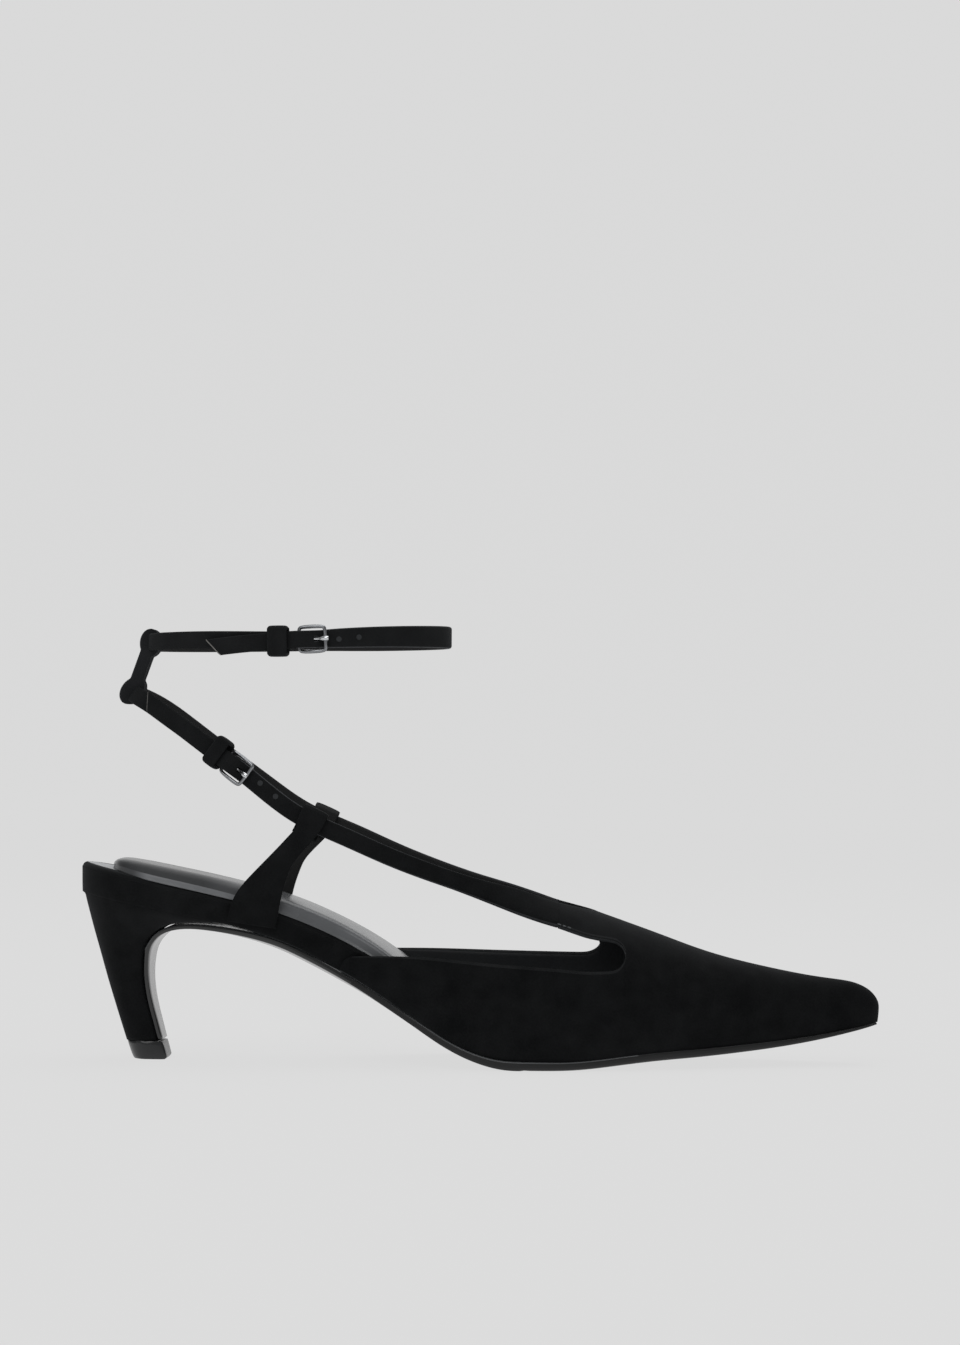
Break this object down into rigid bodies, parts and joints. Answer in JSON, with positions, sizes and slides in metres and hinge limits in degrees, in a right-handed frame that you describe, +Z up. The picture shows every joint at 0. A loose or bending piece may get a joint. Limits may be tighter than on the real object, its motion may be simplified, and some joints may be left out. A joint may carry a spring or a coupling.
{
  "type": "slingback pump shoe",
  "caption": "Black suede pointed-toe pump with side cut-outs, open back, slingback and ankle straps with small buckles, and a slim curved mid-height heel.",
  "frame": {"origin": "on the floor under the middle of the overall box", "axes": "+X to the toe, +Z up, +Y to the inner side of the right foot"},
  "size_m": [0.2608, 0.0721, 0.1418],
  "materials": {
    "black_suede": "matte napped suede",
    "black_sole_leather": "glossy",
    "grey_lining_leather": "satin smooth",
    "heel_tip_rubber": "glossy",
    "polished_steel": "polished"
  },
  "bodies": {
    "root": {"heel": "black_suede", "footbed": "black_suede", "upper": "black_suede", "outer_strap": "black_suede", "sling_strap": "black_suede", "outer_stay": "black_suede", "inner_stay": "black_suede", "back_tab": "black_suede", "ankle_strap": "black_suede", "sling_keeper": "black_suede", "ankle_keeper": "black_suede", "sling_buckle": "polished_steel", "sling_prong": "polished_steel", "ankle_buckle": "polished_steel", "ankle_prong": "polished_steel", "outsole": "black_sole_leather", "insole": "grey_lining_leather", "heel_tip": "heel_tip_rubber"}
  },
  "joints": []
}
